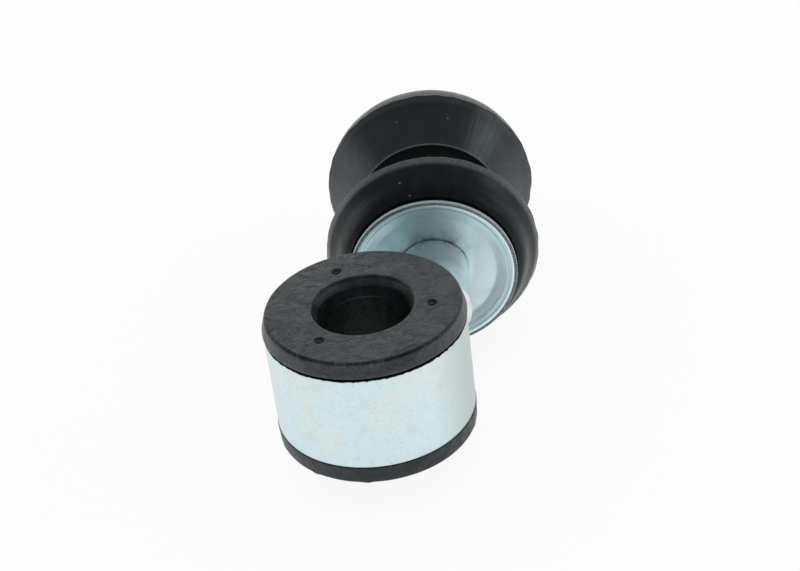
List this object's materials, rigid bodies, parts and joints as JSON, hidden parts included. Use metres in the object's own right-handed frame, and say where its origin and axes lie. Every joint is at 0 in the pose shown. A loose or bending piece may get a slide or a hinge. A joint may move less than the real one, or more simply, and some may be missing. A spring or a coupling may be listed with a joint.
{
  "type": "anti-roll bar link",
  "caption": "Short anti-roll bar link: rubber-bushed eye welded to a pin that carries two rubber cushions between cup washers and a lock nut.",
  "frame": {"origin": "centre of the eye's bore, halfway between the two faces of the rubber bush", "axes": "+Z along the eye's bore; +Y along the pin, from the eye to the nut; +X to the side on which the pin stands, with the pin's axis at x = 16.5 mm, z = 0"},
  "size_m": [0.0703, 0.136, 0.0576],
  "materials": {
    "eye_zinc": "pale bluish zinc plating, satin",
    "pin_zinc": "bluish zinc plating, turned",
    "weld_zinc": "bright plated weld",
    "washer_zinc": "bluish zinc plating on pressed sheet",
    "nut_zinc": "zinc plating",
    "bush_rubber": "dark satin moulded rubber",
    "cushion_rubber": "near-black moulded rubber with dusty edges",
    "insert_nylon": "off-white nylon"
  },
  "bodies": {
    "link": {"eye_ring": "eye_zinc", "link_pin": "pin_zinc", "weld_bead": "weld_zinc", "near_cup_washer": "washer_zinc"},
    "bush": {"eye_bush": "bush_rubber"},
    "near_rubber": {"near_cushion": "cushion_rubber"},
    "far_rubber": {"far_cushion": "cushion_rubber"},
    "far_washer": {"far_cup_washer": "washer_zinc"},
    "nut": {"lock_nut": "nut_zinc", "nut_insert": "insert_nylon"}
  },
  "joints": [
    {"name": "bush_twist", "type": "hinge", "parent": "link", "child": "bush", "pos_m": [0, 0, 0], "axis": [0, 0, 1], "range_deg": [-15, 15], "stiffness_Nm_per_rad": 2},
    {"name": "near_cushion_turn", "type": "hinge", "parent": "link", "child": "near_rubber", "pos_m": [0.0165, 0.051, 0], "axis": [0, 1, 0], "continuous": true},
    {"name": "far_cushion_turn", "type": "hinge", "parent": "link", "child": "far_rubber", "pos_m": [0.0165, 0.082, 0], "axis": [0, 1, 0], "continuous": true},
    {"name": "washer_slide", "type": "slide", "parent": "link", "child": "far_washer", "axis": [0, 1, 0], "range_m": [0, 0.008]},
    {"name": "nut_turn", "type": "hinge", "parent": "far_washer", "child": "nut", "pos_m": [0.0165, 0.0993, 0], "axis": [0, 1, 0], "range_deg": [0, 1920]}
  ],
  "couplings": [
    {"joint": "nut_turn", "follows": "washer_slide", "rad_per_m": 4188.8}
  ]
}
